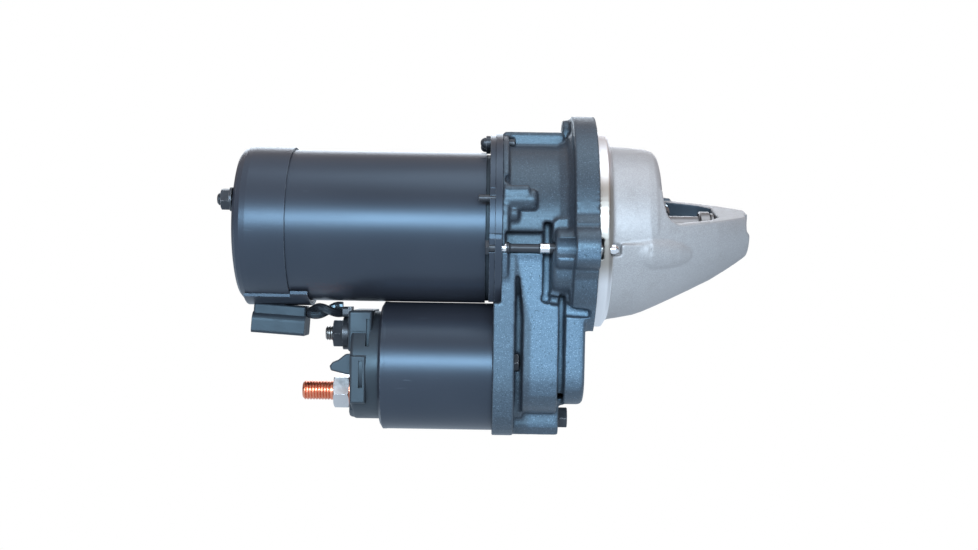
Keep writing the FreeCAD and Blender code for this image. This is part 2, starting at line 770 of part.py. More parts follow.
def bore_housing(house):
    """Barrel cavity, nose seat, lever chamber with its mouth, and solenoid bore."""
    seat = rod(37.6, -6.0, 1.0).fuse(rod(41.8, -0.5, 1.0))
    return house.cut([rod(barrel_cavity, housing_rear - 5, 1),
                      seat,
                      box(-34.0, -6.6, -18.6, 18.6, -70.5, -8.0),
                      box(-42.0, -33.0, -18.6, 18.6, -40.5, -8.0),
                      rod(18.0, -42.0, -33.0, 0, solenoid_drop)])


def drill_housing(house):
    for side, long_place, stud_place in zip(SIDES, long_places, stud_places):
        unit_y, unit_z = ear_direction(side)
        ear_place = (unit_y * bolt_circle_radius, unit_z * bolt_circle_radius)
        house = drill(house, bolt_hole_radius, -30, 5, [ear_place])
        house = drill(house, 2.55, -45, 5, [long_place])
        house = drill(house, 2.45, housing_rear - 3, -29.9, [stud_place])
    # open recesses along the long bolts
    for side in SIDES:
        house = house.cut(side_box(side, housing_rear + 1.2, -18.2, -50, -29.4, -10.6, -2.4))
    pocket = soften(box(-37.0, -32.4, -45, -32.6, 16.8, 20.2), 0.8,
                    lambda e: e.BoundBox.YLength > 5)
    house = house.cut(pocket)
    house = drill(house, 2.6, -45, 5, [low_screw_place])
    for screw_place in side_screw_places:
        house = drill(house, 2.6, -45, -32.0, [screw_place])
        house = drill(house, 4.1, -32.6, -30.0, [screw_place])
    house = drill(house, screw_hole, housing_rear - 3, -33.0, bracket_screw_places)
    return drill(house, pin_hole, housing_rear - 3, -33.9, pin_places)


@piece
def drive_end_housing():
    parts = barrel_parts()
    for side in SIDES:
        parts += flank_parts(side)
    parts += chamber_parts()
    house = flange_with_ears()
    # one union at a time keeps each simple
    for part in parts:
        house = house.fuse(part)
    house = house.removeSplitter()
    for side in SIDES:
        house = cut_flank_hollow(house, side)
    # three lumps on the -Y side of the barrel
    house = house.fuse(rounded_rod(4.4, -37.6, -24.2, -34.6, 10.4, 1.6, front=True))
    house = house.fuse(rounded_rod(3.3, -37.6, -31.4, -35.0, 4.6, 1.2, front=True))
    house = house.fuse(rod(2.6, -37.6, -27.4, -36.2, 13.4))
    return largest_solid(drill_housing(bore_housing(house)))


# ---- nose housing ------------------------------------------------------
nose_bore = 6.0
nose_bore_front = nose_tip - 2.6
opening_rise = 8.5                           # z of the opening's edge at y = 0
opening_slope = math.tan(math.radians(14.0))   # the edge falls towards -Y
ridge_y = -26.4

# shared start of both outer profiles: spigot and pilot ring
PILOT = [(-5.9, 25.0), (-5.9, 37.4), (-0.49, 37.4), (-0.49, 40.5), (0.3, 40.5),
         (0.3, pilot_radius), (pilot_length, pilot_radius)]
LOW_OUTSIDE = [(6.3, 38.2), (12.0, 37.2), (18.0, 36.0), (22.0, 34.6), (28.0, 31.9),
               (34.7, 28.7), (42.0, 25.1), (50.8, 20.6), (57.0, 16.7), (61.4, 13.7),
               (64.0, 11.8), (nose_tip, 10.2)]
HIGH_OUTSIDE = [(6.1, 38.2), (6.3, nose_cup_radius - 0.5), (14.0, 35.0), (21.4, 34.4),
                (22.0, 34.4), (28.0, 31.7), (34.7, 28.6), (42.0, 25.0), (50.8, 20.5),
                (57.0, 16.6), (61.4, 13.6), (64.0, 11.7), (nose_tip, 10.1)]
# inside wall, from the front backwards
INSIDE = [(52.5, 0), (52.5, 12.5), (47.5, 17.6), (23.0, 29.6), (20.5, 30.4), (-2.0, 30.4)]
CUP = [(5.0, 30.4), (5.0, 35.2), (14.0, 35.0), (21.4, 34.4), (24.4, 33.6), (26.2, 31.8),
       (27.0, 29.0), (nose_cup_front + 0.2, 25.6), (nose_cup_front + 0.2, 20.0),
       (nose_cup_front, 8.0), (21.4, 8.0), (21.4, 27.0), (18.5, 30.4)]
GUSSET_SHELL = [(19, 29.4), (19, 34.4), (22, 34.1), (28, 31.6), (34.7, 28.5), (38, 26.9),
                (38, 22.0), (23, 29.0)]
# gusset outline: x, and height over the opening's edge
GUSSET = [(20.0, -4), (37.0, -4), (37.0, -0.2), (33.0, 0.3), (30.0, 1.8), (28.2, 4.6),
          (27.2, 9.0), (26.6, 14), (20.0, 14)]
RIDGE_END = [(-2.0, 0), (-2.0, 8.6), (0.0, 8.6), (6.0, 8.2), (12.0, 7.1), (17.0, 5.4),
             (20.5, 3.2), (22.0, 0)]


def nose_shell():
    """Outer cone, a little slimmer above z = -7 than below it."""
    closing = [(nose_tip, 0.0)] + INSIDE + [(-2.0, 25.0)]
    low = lathe(PILOT + LOW_OUTSIDE + closing)
    high = lathe(PILOT + HIGH_OUTSIDE + closing)
    nose = low.common(box(-10, 80, -REACH, REACH, -REACH, -7.0))
    nose = nose.fuse(high.common(box(-10, 80, -REACH, REACH, -7.0, REACH))).removeSplitter()
    return nose.cut(rod(nose_bore, 40, nose_bore_front))


def above_lean(height, x0, x1):
    """Everything above the leaning plane that passes z = height at y = 0."""
    drop = 80 * opening_slope
    return prism_x([(-80, height - drop), (80, height + drop), (80, 90), (-80, 90)], x0, x1)


def gusset(side):
    """Web from the tongue's side wall to the cup face."""
    edge = opening_rise - side * 28 * opening_slope
    web = prism_y([(x, edge + rise) for x, rise in GUSSET], *side_span(side, -33.5, -22.0))
    return web.common(lathe(GUSSET_SHELL))


def long_bolt_ridge():
    """Round-ended boss inboard of the -Y long bolt."""
    end = lathe(RIDGE_END)
    end.rotate(Vector(0, 0, 0), Vector(0, 0, 1), 20)
    end.translate(Vector(21.0, ridge_y, long_z))
    return rod(8.6, 3.0, 21.2, ridge_y, long_z).fuse(end)


@piece
def nose_housing():
    pinion_space = rod(14.6, 10, 47)
    # the front is open above the lean, which leaves a tongue; the lid is the cup's face
    tongue = nose_shell().cut(above_lean(opening_rise, 21.2, 80))
    lid = lathe(CUP).common(above_lean(opening_rise - 3.0, 0, nose_cup_front))
    nose = tongue.fuse(lid.cut(pinion_space))
    nose = nose.fuse(rod(7.6, 53.2, nose_tip)).cut(rod(nose_bore, 53, nose_bore_front))
    for side in SIDES:
        nose = nose.fuse(gusset(side))
    ridge = long_bolt_ridge()
    nose = nose.fuse([ridge, ridge.mirror(Vector(0, 0, 0), Vector(0, 1, 0))])
    # clear what the added parts left inside
    inside = lathe([(-2.0, 0)] + INSIDE[::-1])
    nose = nose.cut(inside.cut(box(21.4, 60, -REACH, REACH, 5.0, REACH)))
    nose = nose.cut(pinion_space)
    # notches in the pilot ring where the long bolts' ends come through, open outwards
    for side, (y, z) in zip(SIDES, long_places):
        nose = nose.cut(rod(4.1, -7, 2.15, y, z)).cut(rod(2.7, 2, 9.6, y, z))
        nose = nose.cut(side_box(side, -7, 2.15, long_y * 1.3, long_y, z - 4.1, z + 4.1))
    nose = nose.cut(rod(barrel_cavity, -7, 3))
    # shallow round recess on the -Y side of the tip
    nose = nose.cut(rod(4.6, 64.4, 70, -7.6, 3.0))
    # round any upper edge that lies at x = 25
    return soften(largest_solid(nose.removeSplitter()), 1.6,
                  lambda e: e.BoundBox.XMin > 24.9 and e.BoundBox.XMax < 25.1
                  and e.BoundBox.ZMax > 20)


keep(tube("nose_bush", 53.4, nose_tip - 3.0, nose_bore - 0.02, journal_radius + running_gap))

# ---- fasteners at the bracket ------------------------------------------
LONG_BOLT = [(-44.4, 0), (-44.4, 2.0), (-43.2, 2.3), (-35.2, 2.3), (-34.6, 1.7),
             (-23.4, 1.7), (-22.9, 2.1), (4.0, 2.3), (7.2, 2.1), (8.4, 1.4), (8.4, 0)]
BRACKET_SCREW = [(-47.4, 0), (-47.3, 0.9), (-46.8, 1.6), (-46.0, 2.1), (-45.0, 2.2),
                 (-45.0, 2.9), (-43.14, 2.9), (-43.14, 2.0), (-33.2, 2.0), (-33.2, 0)]


@piece
def long_bolts():
    return [lathe(LONG_BOLT, y, z).fuse(hexagon(5.5, -44.6, -43.14, y, z, bevel=0.3))
            .removeSplitter() for y, z in long_places]


@piece
def bolt_collars():
    return [rounded_rod(3.9, -0.48, 1.85, y, z, 0.4, front=True).cut(rod(2.42, -1, 4, y, z))
            for y, z in long_places]


@piece
def bracket_screws():
    return [lathe(BRACKET_SCREW, y, z) for y, z in bracket_screw_places]


@piece
def locating_pins():
    return [rounded_rod(1.4, -47.6, -34.0, y, z, 0.4) for y, z in pin_places]


# ---- clutch and pinion -------------------------------------------------
sleeve_front = -11.2
sleeve_radius = 8.6


@piece
def clutch_shell():
    shell = lathe([
        (sleeve_rear, sleeve_radius), (sleeve_rear, 10.6), (sleeve_rear + 0.3, 10.9),
        (-24.5, 10.9), (-24.5, 13.8), (-16.5, 13.8), (clutch_rear, 17.0),
        (clutch_rear + 0.8, clutch_radius), (clutch_front - 0.8, clutch_radius),
        (clutch_front, clutch_radius - 0.6), (clutch_front, 12.4), (5.0, 12.4), (5.0, 17.6),
        (sleeve_front, 17.6), (sleeve_front, sleeve_radius)])
    spline_gaps = ring_of(box(-36, -10, -1.33, 1.33, 5.0, 8.5), 10)
    sleeve = rod(sleeve_radius, sleeve_rear, sleeve_front).cut(rod(7.06, -36, -10))
    return shell.fuse(sleeve.cut(Part.makeCompound(spline_gaps))).removeSplitter()


@piece
def clutch_rollers():
    return ring_of(rod(2.7, -10.6, 4.4, 0, 14.78), 5)


keep(tube("fork_collar", -34.4, -32.5, 13.8, 10.92))


@piece
def pinion():
    bevel_rear = pinion_front - 2.4
    outline = gear_outline(teeth=9, module=2.54, outer=pinion_tip_radius,
                           inner=pinion_root_radius, slack=0.25, phase=math.radians(90))
    bevelled = lathe([(10, 0), (bevel_rear, 0), (bevel_rear, 0.01), (pinion_front, 0.01),
                      (pinion_front, 10.8), (bevel_rear, 13.6), (10, 13.6)])
    gear = prism_x(outline, pinion_rear + 1.0, pinion_front).common(bevelled)
    race = lathe([(-10.8, 6.5), (-10.8, 11.9), (11.9, 11.9), (12.1, 13.0), (13.4, 13.0),
                  (13.4, 6.5)])
    hub = lathe([(13.0, 6.5), (13.0, 9.0), (pinion_front, 9.0), (pinion_front, 6.5)])
    return race.fuse([gear, hub]).cut(rod(6.4 + running_gap, -20, 40)).removeSplitter()


# ---- lever -------------------------------------------------------------
lean_sin = math.sin(math.radians(lever_lean))
lean_cos = math.cos(math.radians(lever_lean))
lever_pin_radius = 2.5


def on_lever(distance):
    """(x, z) on the lever's centre line, measured upwards from the pivot."""
    return lever_x - distance * lean_sin, lever_drop + distance * lean_cos


def lever_bar(start, end, start_half, end_half, half_width):
    """Straight or tapering bar between two distances along the lever."""
    outline = []
    for distance, half in ((start, -start_half), (start, start_half),
                           (end, end_half), (end, -end_half)):
        x, z = on_lever(distance)
        outline.append((x + half * lean_cos, z + half * lean_sin))
    return prism_y(outline, -half_width, half_width)


@piece
def fork_lever():
    lever = cross_rod(6.0, -8.0, 8.0, lever_x, lever_drop)
    lever = lever.fuse(lever_bar(0, 15.0, 3.0, 3.0, 8.0))
    arms = lever_bar(11.0, fork_arm, 2.8, 2.8, 17.8)
    # open the fork round the clutch sleeve
    arms = arms.cut(rod(14.9, -60, 0)).cut(box(-60, 0, -14.9, 14.9, 0, 30))
    lever = lever.fuse(arms)
    for side in SIDES:
        lever = lever.fuse(cross_rod(3.9, *side_span(side, 14.4, 17.8), *on_lever(fork_arm)))
        lever = lever.fuse(cross_rod(3.8, *side_span(side, 11.4, 15.5), *on_lever(fork_arm)))
    lever = lever.fuse(lever_bar(0, -plunger_arm, 4.0, 1.5, 2.4))
    lever = lever.fuse(cross_rod(3.0, -2.4, 2.4, *on_lever(-plunger_arm)))
    hole = cross_rod(lever_pin_radius + running_gap, -20, 20, lever_x, lever_drop)
    return lever.cut(hole).removeSplitter()


@piece
def lever_support():
    support = box(-37.9, -34.6, -13.0, 13.0, -40.0, -27.5)
    for side in SIDES:
        support = support.fuse(side_box(side, -35.0, -16.5, 8.3, 13.0, -40.0, -28.0))
    hole = cross_rod(lever_pin_radius + 0.02, -20, 20, lever_x, lever_drop)
    return soften(support.cut(hole).removeSplitter(), 2.0,
                  lambda e: e.BoundBox.XMin > -16.6 and e.BoundBox.YLength > 3)


@piece
def lever_pin():
    return cross_rod(lever_pin_radius, -14.2, 14.2, lever_x, lever_drop)


# ---- solenoid ----------------------------------------------------------
solenoid_at = (0, 0, solenoid_drop)
low_thread_radius = 2.5
side_thread_radius = 2.2


def make_solenoid_can():
    lining = can_radius - can_wall
    profile = [
        (can_rear + 0.6, switch_radius + 0.06), (can_rear - 0.6, switch_radius + 0.5),
        (can_rear - 0.9, 25.2), (can_rear + 0.2, can_radius + 0.1),
        (can_rear + 1.3, can_radius + 0.1), (can_rear + 2.2, can_radius),
        (can_front, can_radius), (can_front, 10.4), (can_front - 3.4, 10.4),
        (can_front - 3.4, lining), (can_rear + 0.6, lining)]
    holes = [(low_screw_place, low_thread_radius + 0.02)]
    holes += [(screw_place, side_thread_radius + 0.02) for screw_place in side_screw_places]
    shell = turned("can_shell", profile, solenoid_at)
    tapped = [cylinder("can_tapped_%d" % i, -46.0, 8.0, radius, y, z)
              for i, ((y, z), radius) in enumerate(holes)]
    keep(cut("solenoid_can", shell, tapped))


make_solenoid_can()
keep(turned("coil_bobbin", [(-84.0, 10.3), (-44.5, 10.3), (-44.5, 24.7), (-46.0, 24.7),
                            (-46.0, 11.8), (-82.4, 11.8), (-82.4, 24.7), (-84.0, 24.7)],
            solenoid_at))
keep(turned("coil_winding", [(-82.3, 11.85), (-46.1, 11.85), (-46.1, 24.3), (-82.3, 24.3)],
            solenoid_at))
keep(turned("solenoid_core", [(-86.3, 2.2), (-68.9, 2.2), (-68.9, 7.4), (-70.1, 9.9),
                              (-84.1, 9.9), (-84.1, 24.8), (-86.3, 24.8)], solenoid_at))


@piece
def plunger():
    body = lathe([(plunger_rear, 0), (plunger_rear, 7.6), (plunger_rear + 1, plunger_radius),
                  (-41.4, plunger_radius), (-40.9, 9.0), (-40.9, 5.4), (-12.6, 5.4),
                  (-12.0, 4.8), (-12.0, 0)], z=solenoid_drop)
    collar = lathe([(-25.0, 5.3), (-23.6, 5.3), (-23.6, 10.4), (-25.0, 10.4)],
                   z=solenoid_drop)
    tip_x = on_lever(-plunger_arm)[0]
    slot = box(tip_x - 3.12, tip_x + 3.12, -2.7, 2.7, solenoid_drop - 12, solenoid_drop + 12)
    return body.fuse(collar).cut(slot).removeSplitter()


@piece
def return_spring():
    coil = spring(8.2, wire=1.1, x0=-40.85, x1=-25.1, turns=5)
    coil.translate(Vector(*solenoid_at))
    return coil


@piece
def moving_contact():
    return lathe([(-88.7, 0), (-88.7, 14.6), (-86.9, 14.6), (-86.9, 2.0), (-68.0, 2.0),
                  (-68.0, 0)], z=solenoid_drop)


@piece
def contact_spring():
    coil = spring(4.2, wire=0.8, x0=-97.1, x1=-88.8, turns=4)
    coil.translate(Vector(*solenoid_at))
    return coil


# ---- switch cap and terminals ------------------------------------------
motor_stud_radius = 3.0


def rounded_block(x0, x1, y0, y1, z0, z1, radius):
    """Block rounded on its rear rim and on every edge that doesn't run along Y."""
    return soften(box(x0, x1, y0, y1, z0, z1), radius,
                  lambda e: e.BoundBox.XMax < x0 + 0.1 or e.BoundBox.YLength < 0.1)


def trigger_shroud():
    """Tapering fin pointing rearwards round the trigger terminal."""
    fin = prism_y([(-98.0, -53.6), (-102.4, -54.0), (-105.0, -56.2), (-107.4, -57.2),
                   (-108.6, -58.8), (-108.0, -60.6), (-101.6, -62.2), (-98.0, -62.2)],
                  -15.4, -9.2)
    return soften(fin, 0.7, lambda e: e.BoundBox.XMax < -100)


@piece
def solenoid_cap():
    contact_space = rod(15.4, -97.2, -80, 0, solenoid_drop)
    cap = rounded_rod(switch_radius, switch_rear + 1.0, can_rear + 0.5, 0, solenoid_drop, 1.6)
    upper = rounded_block(switch_rear - 0.3, -91.0, -17.4, 17.4, -52.6, -35.6, 1.2)
    lower = rounded_block(switch_rear + 0.14, -89.0, -13.5, 13.5, -80.8, -62.0, 1.5)
    lower = lower.common(rod(switch_radius - 0.3, switch_rear - 4, -80, 0, solenoid_drop))
    cap = cap.fuse(upper).fuse(lower).removeSplitter().cut(contact_space)
    # slots on the -Y side
    cap = cap.cut(box(-93.4, -92.0, -40, -16.2, -50.0, -39.0))
    cap = cap.cut(box(-100.0, -91.8, -40, -17.0, -44.9, -44.1))
    # slotted frame standing on the -Y side
    frame = soften(box(-99.2, -92.9, -23.2, -12.0, -73.4, -53.8), 0.8,
                   lambda e: e.BoundBox.YMax < -23.1)
    frame = frame.cut(box(-95.8, -94.2, -30, -20.6, -67.0, -56.0)).cut(contact_space)
    cap = cap.fuse(frame).removeSplitter()
    cap = cap.fuse(trigger_shroud()).removeSplitter()
    cap = cap.cut(rod(terminal_radius + 0.02, -110, -85, 0, battery_drop))
    cap = cap.cut(rod(motor_stud_radius + 0.02, -110, -85, 0, motor_drop))
    return largest_solid(cap.cut(box(-112, -84, -14.0, -13.2, -60.6, -57.6)))


def with_head(thread, shank_radius, shank_rear, head_radius, z):
    """Add a plain shank and a head trimmed to fit inside the switch cap."""
    head = rod(head_radius, -92.8, -91.2, 0, z).common(rod(15.2, -99, -80, 0, solenoid_drop))
    stud = thread.fuse(rod(shank_radius, shank_rear, -92.6, 0, z))
    return stud.fuse(head).removeSplitter()


@piece
def battery_stud():
    thread = threaded(terminal_radius, battery_tip, -108.3, 1.25, 0, battery_drop,
                      depth=0.48, rear_bevel=0.9, front_bevel=0.16)
    return with_head(thread, 3.83, -108.4, 6.6, battery_drop)


@piece
def motor_terminal_stud():
    thread = threaded(motor_stud_radius, motor_tip, -101.0, 1.0, 0, motor_drop,
                      depth=0.5, front_bevel=0.2)
    return with_head(thread, motor_stud_radius, -101.1, 6.2, motor_drop)


@piece
def battery_nut():
    nut = hexagon(13.0, -108.0, -101.32, 0, battery_drop, bevel=0.9, turn=8)
    return nut.cut(rod(3.86, -112, -100, 0, battery_drop))


keep(tube("battery_washer", -101.3, -100.48, 7.2, 4.05, (0, 0, battery_drop)))


@piece
def motor_terminal_nut():
    nut = hexagon(11.0, -108.6, -104.4, 0, motor_drop, bevel=0.7)
    nut = nut.fuse(rod(6.9, -104.5, -102.24, 0, motor_drop))
    return nut.cut(rod(motor_stud_radius + 0.02, -112, -100, 0, motor_drop)).removeSplitter()


@piece
def ring_terminal():
    rear, front, top = -102.2, -100.94, motor_drop + 11.4
    terminal = box(rear, front, -5.2, 5.2, motor_drop, top)
    terminal = terminal.fuse(rod(6.6, rear, front, 0, motor_drop))
    terminal = terminal.cut(rod(motor_stud_radius + 0.04, -105, -99, 0, motor_drop))
    crimp = soften(box(-104.7, -101.2, -4.6, 4.6, motor_drop + 7.0, top), 1.4,
                   lambda e: e.BoundBox.XLength > 3)
    return largest_solid(terminal.fuse(crimp).removeSplitter())


@piece
def trigger_terminal():
    return box(-107.4, -97.3, -13.95, -13.25, -60.4, -57.8)


@piece
def solenoid_screws():
    y, z = low_screw_place
    screw = threaded(low_thread_radius, -43.8, -28.0, 0.8, y, z, depth=0.3,
                     rear_bevel=0.5, front_bevel=0.2)
    screw = screw.fuse([rod(low_thread_radius, -28.1, -12.9, y, z)])
    screws = [screw.fuse(hexagon(8.0, -12.95, -9.0, y, z, bevel=0.5)).removeSplitter()]
    for y, z in side_screw_places:
        screw = rod(side_thread_radius, -43.8, -32.5, y, z)
        screw = screw.fuse(hexagon(6.4, -32.58, -30.4, y, z, bevel=0.4))
        screws.append(screw.removeSplitter())
    return screws


# ---- brush lead exit ---------------------------------------------------
@piece
def lead_block():
    upper = soften(box(-142.2, -120.2, -6.8, 6.8, -40.0, -34.7), 0.9,
                   lambda e: e.BoundBox.ZMin > -35 or e.BoundBox.XLength < 0.1)
    angles = [math.radians(a) for a in range(0, 91, 15)]
    corner = [(-8.4 + 3.4 * (1 - math.cos(a)), -41.6 + 3.4 * math.sin(a)) for a in angles]
    outline = [(-7.6, -47.0), (-8.4, -46.0)] + corner
    outline += [(-y, z) for y, z in reversed(corner)] + [(8.4, -46.0), (7.6, -47.0)]
    block = upper.fuse(prism_x(outline, -142.4, -120.0))
    block.rotate(Vector(-119.0, 0, -40.0), Vector(0, 1, 0), 3.6)
    block = block.cut(rod(cap_radius + 1.24, -150, -110))
    block = block.fuse(box(-138.5, -129.5, -4.4, 4.4, -38.0, -29.8))
    return largest_solid(block.removeSplitter())


@piece
def lead_bracket():
    """Curved strip under the cap, with a window and its two rear corners cut away."""
    inner, outer = cap_radius + 0.02, cap_radius + 1.2
    band = lathe([(-144.6, inner), (-117.9, inner), (-117.9, outer), (-144.6, outer)])
    band = band.common(box(-145, -116, -17.5, 17.5, -40, -20))
    band = band.cut(box(-139.8, -128.2, -5.2, 5.2, -40, -20))
    for side in SIDES:
        band = band.cut(side_box(side, -146, -125.2, -20, -15.4, -40, -20))
    return largest_solid(band.removeSplitter())


def lead_strand(points, radius):
    """Ten-sided strand swept along a smooth curve through the points."""
    curve = Part.BSplineCurve()
    curve.interpolate(points)
    edge = curve.toShape()
    tangent = edge.tangentAt(edge.FirstParameter)
    across = tangent.cross(Vector(0, 1, 0)).normalize()
    up = tangent.cross(across).normalize()
    angles = [math.pi * i / 5 for i in range(10)]
    section = [points[0] + across * (radius * math.cos(a)) + up * (radius * math.sin(a))
               for a in angles]
    polygon = Part.makePolygon(section + section[:1])
    return Part.Wire(edge).makePipeShell([polygon], True, False)


@piece
def brush_lead():
    """Two strands twisted round each other, trimmed square at both ends."""
    strands = []
    for side in SIDES:
        path = []
        for i in range(17):
            part = i / 16.0
            twist = 2 * math.pi * min(max(part - 0.10, 0.0), 0.82)
            y = -4.0 * math.sin(math.pi * part)
            z = -37.8 + 2.2 * math.sin(math.pi * 0.5 * min(1.0, part * 1.25))
            path.append(Vector(-121.2 + 17.6 * part,
                               y + side * 1.92 * math.cos(twist),
                               z + side * 1.56 * math.sin(twist)))
        strand = lead_strand(path, 1.80)
        strands.append(strand.common(box(-119.7, -104.76, -12, 12, -48, -26)).Solids[0])
    return strands


# ---- checks and output -------------------------------------------------
doc.recompute()
bad = ["%s: %s" % (obj.Name, obj.State) for obj in doc.Objects
       if "Invalid" in obj.State or "Error" in obj.State]
for obj in finished:
    shape = obj.Shape
    if shape.isNull() or not shape.isValid() or not shape.Solids:
        bad.append("%s: null, invalid or without a solid" % obj.Label)
if bad:
    raise RuntimeError("failed objects: " + "; ".join(bad))

os.makedirs("parts", exist_ok=True)
for obj in finished:
    obj.Shape.exportStep("parts/%s.step" % obj.Label)
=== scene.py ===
import json
import math

import bmesh
import bpy
import numpy as np
from mathutils import Matrix, Vector, noise


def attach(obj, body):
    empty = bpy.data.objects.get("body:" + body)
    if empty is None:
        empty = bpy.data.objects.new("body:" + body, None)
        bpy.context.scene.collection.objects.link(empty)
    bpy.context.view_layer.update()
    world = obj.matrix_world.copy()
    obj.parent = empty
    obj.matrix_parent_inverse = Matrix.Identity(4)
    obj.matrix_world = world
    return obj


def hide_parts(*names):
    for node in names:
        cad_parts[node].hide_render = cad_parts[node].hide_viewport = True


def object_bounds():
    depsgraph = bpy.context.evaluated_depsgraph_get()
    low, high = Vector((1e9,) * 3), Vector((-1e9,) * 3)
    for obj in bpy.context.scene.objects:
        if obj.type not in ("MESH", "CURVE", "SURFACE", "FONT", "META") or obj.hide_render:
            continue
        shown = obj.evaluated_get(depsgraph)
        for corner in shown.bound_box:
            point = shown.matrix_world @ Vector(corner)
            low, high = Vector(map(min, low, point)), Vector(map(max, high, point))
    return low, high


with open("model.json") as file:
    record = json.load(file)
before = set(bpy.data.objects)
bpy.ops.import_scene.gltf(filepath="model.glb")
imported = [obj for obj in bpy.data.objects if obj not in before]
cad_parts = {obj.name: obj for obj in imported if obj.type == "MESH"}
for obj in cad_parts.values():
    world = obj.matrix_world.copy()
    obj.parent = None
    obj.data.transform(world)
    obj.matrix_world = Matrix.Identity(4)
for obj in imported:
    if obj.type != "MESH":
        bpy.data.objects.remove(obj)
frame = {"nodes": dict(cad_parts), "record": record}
cad_lo, cad_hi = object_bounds()
nodes = frame["nodes"]
MM = 0.001


# ------------------------------------------------------------------ node helpers
class Tree:
    """Short-hand for building one procedural material."""

    def __init__(self, name):
        self.mat = bpy.data.materials.new(name)
        self.mat.use_nodes = True
        self.nt = self.mat.node_tree
        self.nt.nodes.clear()
        self.out = self.nt.nodes.new("ShaderNodeOutputMaterial")
        self.coord = self.nt.nodes.new("ShaderNodeTexCoord").outputs["Object"]

    def add(self, kind, props=None, **inputs):
        nd = self.nt.nodes.new(kind)
        for k, v in (props or {}).items():
            setattr(nd, k, v)
        for k, v in inputs.items():
            key = int(k[1:]) if k[0] == "i" and k[1:].isdigit() else k.replace("_", " ")
            self.put(nd.inputs[key], v)
        return nd

    def put(self, socket, v):
        if isinstance(v, bpy.types.NodeSocket):
            self.nt.links.new(v, socket)
        elif v is not None:
            socket.default_value = v

    def math(self, op, a, b=None, c=None, clamp=False):
        nd = self.nt.nodes.new("ShaderNodeMath")
        nd.operation = op
        nd.use_clamp = clamp
        for s, v in zip(nd.inputs, (a, b, c)):
            self.put(s, v)
        return nd.outputs[0]

    def noise(self, scale, detail=3.0, rough=0.5, vec=None, distortion=0.0):
        nd = self.add("ShaderNodeTexNoise", None, Vector=vec or self.coord, Scale=scale, Detail=detail, Roughness=rough, Distortion=distortion)
        return nd.outputs["Fac"]

    def span(self, v, a, b, lo=0.0, hi=1.0, smooth=True):
        nd = self.nt.nodes.new("ShaderNodeMapRange")
        nd.interpolation_type = "SMOOTHSTEP" if smooth else "LINEAR"
        for s, x in zip(nd.inputs[:5], (v, a, b, lo, hi)):
            self.put(s, x)
        return nd.outputs[0]

    def mix(self, fac, a, b):
        nd = self.nt.nodes.new("ShaderNodeMix")
        nd.data_type = "RGBA"
        self.put(nd.inputs[0], fac)
        self.put(nd.inputs[6], a)
        self.put(nd.inputs[7], b)
        return nd.outputs[2]

    def fmix(self, fac, a, b):
        nd = self.nt.nodes.new("ShaderNodeMix")
        nd.data_type = "FLOAT"
        self.put(nd.inputs[0], fac)
        self.put(nd.inputs[2], a)
        self.put(nd.inputs[3], b)
        return nd.outputs[0]

    def bump(self, height, dist, normal=None, strength=1.0):
        nd = self.add("ShaderNodeBump", None, Height=height, Distance=dist, Strength=strength)
        if normal is not None:
            self.put(nd.inputs["Normal"], normal)
        return nd.outputs["Normal"]

    def stretched(self, scale):
        nd = self.add("ShaderNodeMapping", None, Vector=self.coord)
        nd.inputs["Scale"].default_value = scale
        return nd.outputs["Vector"]

    def xyz(self):
        nd = self.add("ShaderNodeSeparateXYZ", None, Vector=self.coord)
        return nd.outputs[0], nd.outputs[1], nd.outputs[2]

    def finish(self, **inputs):
        b = self.add("ShaderNodeBsdfPrincipled", None, **{k: v for k, v in inputs.items()})
        self.nt.links.new(b.outputs[0], self.out.inputs[0])
        return self.mat


def rgb(r, g, b):
    return (r, g, b, 1.0)


def edge_wear(t, lo=0.010, hi=0.045, radius_mm=0.45):
    """1 on real edges, broken up by noise; smooth round faces stay clean."""
    bev = t.nt.nodes.new("ShaderNodeBevel")
    bev.samples = 4
    bev.inputs["Radius"].default_value = radius_mm * MM
    geo = t.add("ShaderNodeNewGeometry")
    dot = t.add("ShaderNodeVectorMath", {"operation": "DOT_PRODUCT"}, i0=bev.outputs[0], i1=geo.outputs["Normal"]).outputs["Value"]
    edge = t.span(t.math("SUBTRACT", 1.0, dot), lo, hi)
    broken = t.span(t.noise(420.0, 4.0, 0.6), 0.44, 0.60)
    return t.math("MULTIPLY", edge, broken)


def soft_edge(t, radius_mm, samples=4):
    nd = t.nt.nodes.new("ShaderNodeBevel")
    nd.samples = samples
    nd.inputs["Radius"].default_value = radius_mm * MM
    return nd.outputs[0]


